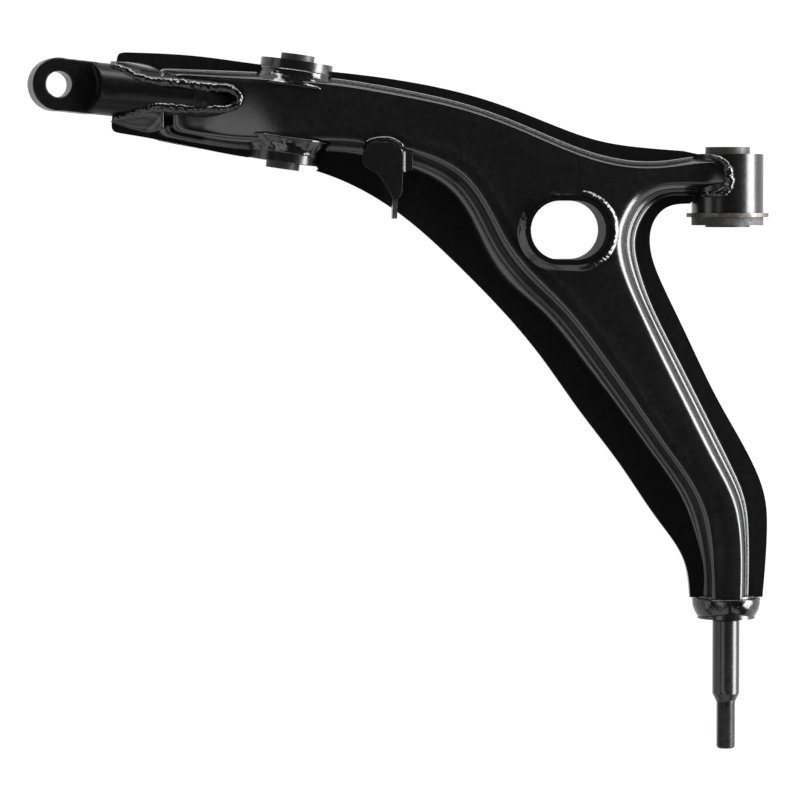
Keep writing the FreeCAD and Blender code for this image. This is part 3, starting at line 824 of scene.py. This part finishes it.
def finish_nodes():
    """Materials and edge rounding for the CAD nodes that stay."""
    finishes = {
        "ball_joint_eye": "forged", "window_liner": "liner", "front_bush_housing": "coat",
        "front_bush_outer_sleeve": "bare", "front_bush_rubber": "rubber",
        "front_bush_inner_sleeve": "sleeve", "fork_bush_housing": "coat",
        "fork_bush_outer_sleeve": "sleeve", "fork_bush_rubber": "rubber",
        "fork_bush_inner_sleeve": "sleeve", "rear_pin_collar": "coat",
    }
    for name, material in finishes.items():
        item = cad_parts[name]
        item.data.materials.clear()
        item.data.materials.append(MATERIALS[material])
        if name == "ball_joint_eye":
            remesh = item.modifiers.new("forging", "REMESH")
            remesh.mode = "VOXEL"
            remesh.voxel_size = 0.7 * MM
            remesh.use_smooth_shade = True
            relax = item.modifiers.new("rounding", "SMOOTH")
            relax.factor = 0.5
            relax.iterations = 10
            continue
        round_edges(item, 0.8 if "housing" in name else 0.5)


# ---------------------------------------------------------------- floor, light and camera

CAMERA_TARGET = Vector((-201.0, -132.3, 0.0)) * MM
CAMERA_DISTANCE = 2.6
VIEW_WIDTH = 489.5 * MM


def area_light(name, place, target, run, long, wide, radiance):
    """Flat light at a place, facing a target, long along the given run; radiance of its face."""
    place, run = Vector(place), Vector(run)
    back = (place - Vector(target)).normalized()
    along = (run - back * run.dot(back)).normalized()
    data = bpy.data.lights.new(name, "AREA")
    data.shape = "RECTANGLE"
    data.size = long
    data.size_y = wide
    data.energy = radiance * math.pi * long * wide
    item = bpy.data.objects.new(name, data)
    item.location = place
    item.rotation_euler = Matrix((along, back.cross(along), back)).transposed().to_euler()
    bpy.context.scene.collection.objects.link(item)
    return item


def stage():
    low = cad_box[0][2]
    data = bpy.data.meshes.new("floor")
    reach = 3.0
    data.from_pydata([(-reach, -reach, low), (reach, -reach, low), (reach, reach, low),
                      (-reach, reach, low)], [], [(0, 1, 2, 3)])
    floor = bpy.data.objects.new("floor", data)
    bpy.context.scene.collection.objects.link(floor)
    material, _, _, shader = new_material("floor")
    shader.inputs["Base Color"].default_value = (0.04, 0.04, 0.04, 1)
    shader.inputs["Roughness"].default_value = 0.9
    shader.inputs["Emission Color"].default_value = (1, 1, 1, 1)
    shader.inputs["Emission Strength"].default_value = 1.0
    data.materials.append(material)

    world = bpy.data.worlds.new("studio")
    world.use_nodes = True
    world.node_tree.nodes["Background"].inputs["Color"].default_value = (1, 1, 1, 1)
    world.node_tree.nodes["Background"].inputs["Strength"].default_value = 0.03
    bpy.context.scene.world = world
    bpy.context.scene.view_settings.view_transform = "Standard"

    centre = CAMERA_TARGET
    area_light("strip_right", (1.55, 0.0, 0.46), centre, (0, 1, 0), 2.6, 0.85, 24.0)
    area_light("strip_forward", (-0.1, 1.65, 0.46), centre, (1, 0, 0), 2.4, 0.6, 16.0)
    area_light("panel_left", (-1.6, -0.5, 0.5), centre, (0, 1, 0), 2.0, 0.7, 1.8)
    area_light("panel_near", (-0.3, -1.7, 0.7), centre, (1, 0, 0), 2.0, 0.9, 1.4)
    area_light("panel_high", (-0.95, -0.85, 1.75), centre, (1, -1, 0), 1.8, 0.75, 2.6)

    camera_data = bpy.data.cameras.new("camera")
    camera = bpy.data.objects.new("camera", camera_data)
    aside = math.tan(math.radians(3.0)) * CAMERA_DISTANCE
    ahead = math.tan(math.radians(2.6)) * CAMERA_DISTANCE
    camera.location = CAMERA_TARGET + Vector((-aside, ahead, CAMERA_DISTANCE))
    facing = CAMERA_TARGET - camera.location
    back = -facing.normalized()
    side = Vector((0, 1, 0)).cross(back).normalized()
    upright = Matrix((side, back.cross(side), back)).transposed()
    camera.rotation_euler = upright.to_euler()
    camera_data.lens = camera_data.sensor_width * facing.length / VIEW_WIDTH
    bpy.context.scene.collection.objects.link(camera)
    bpy.context.scene.camera = camera


MATERIALS = make_materials()
shells()
cheeks()
bar_nose()
welds()
rear_pin()
finish_nodes()
stage()
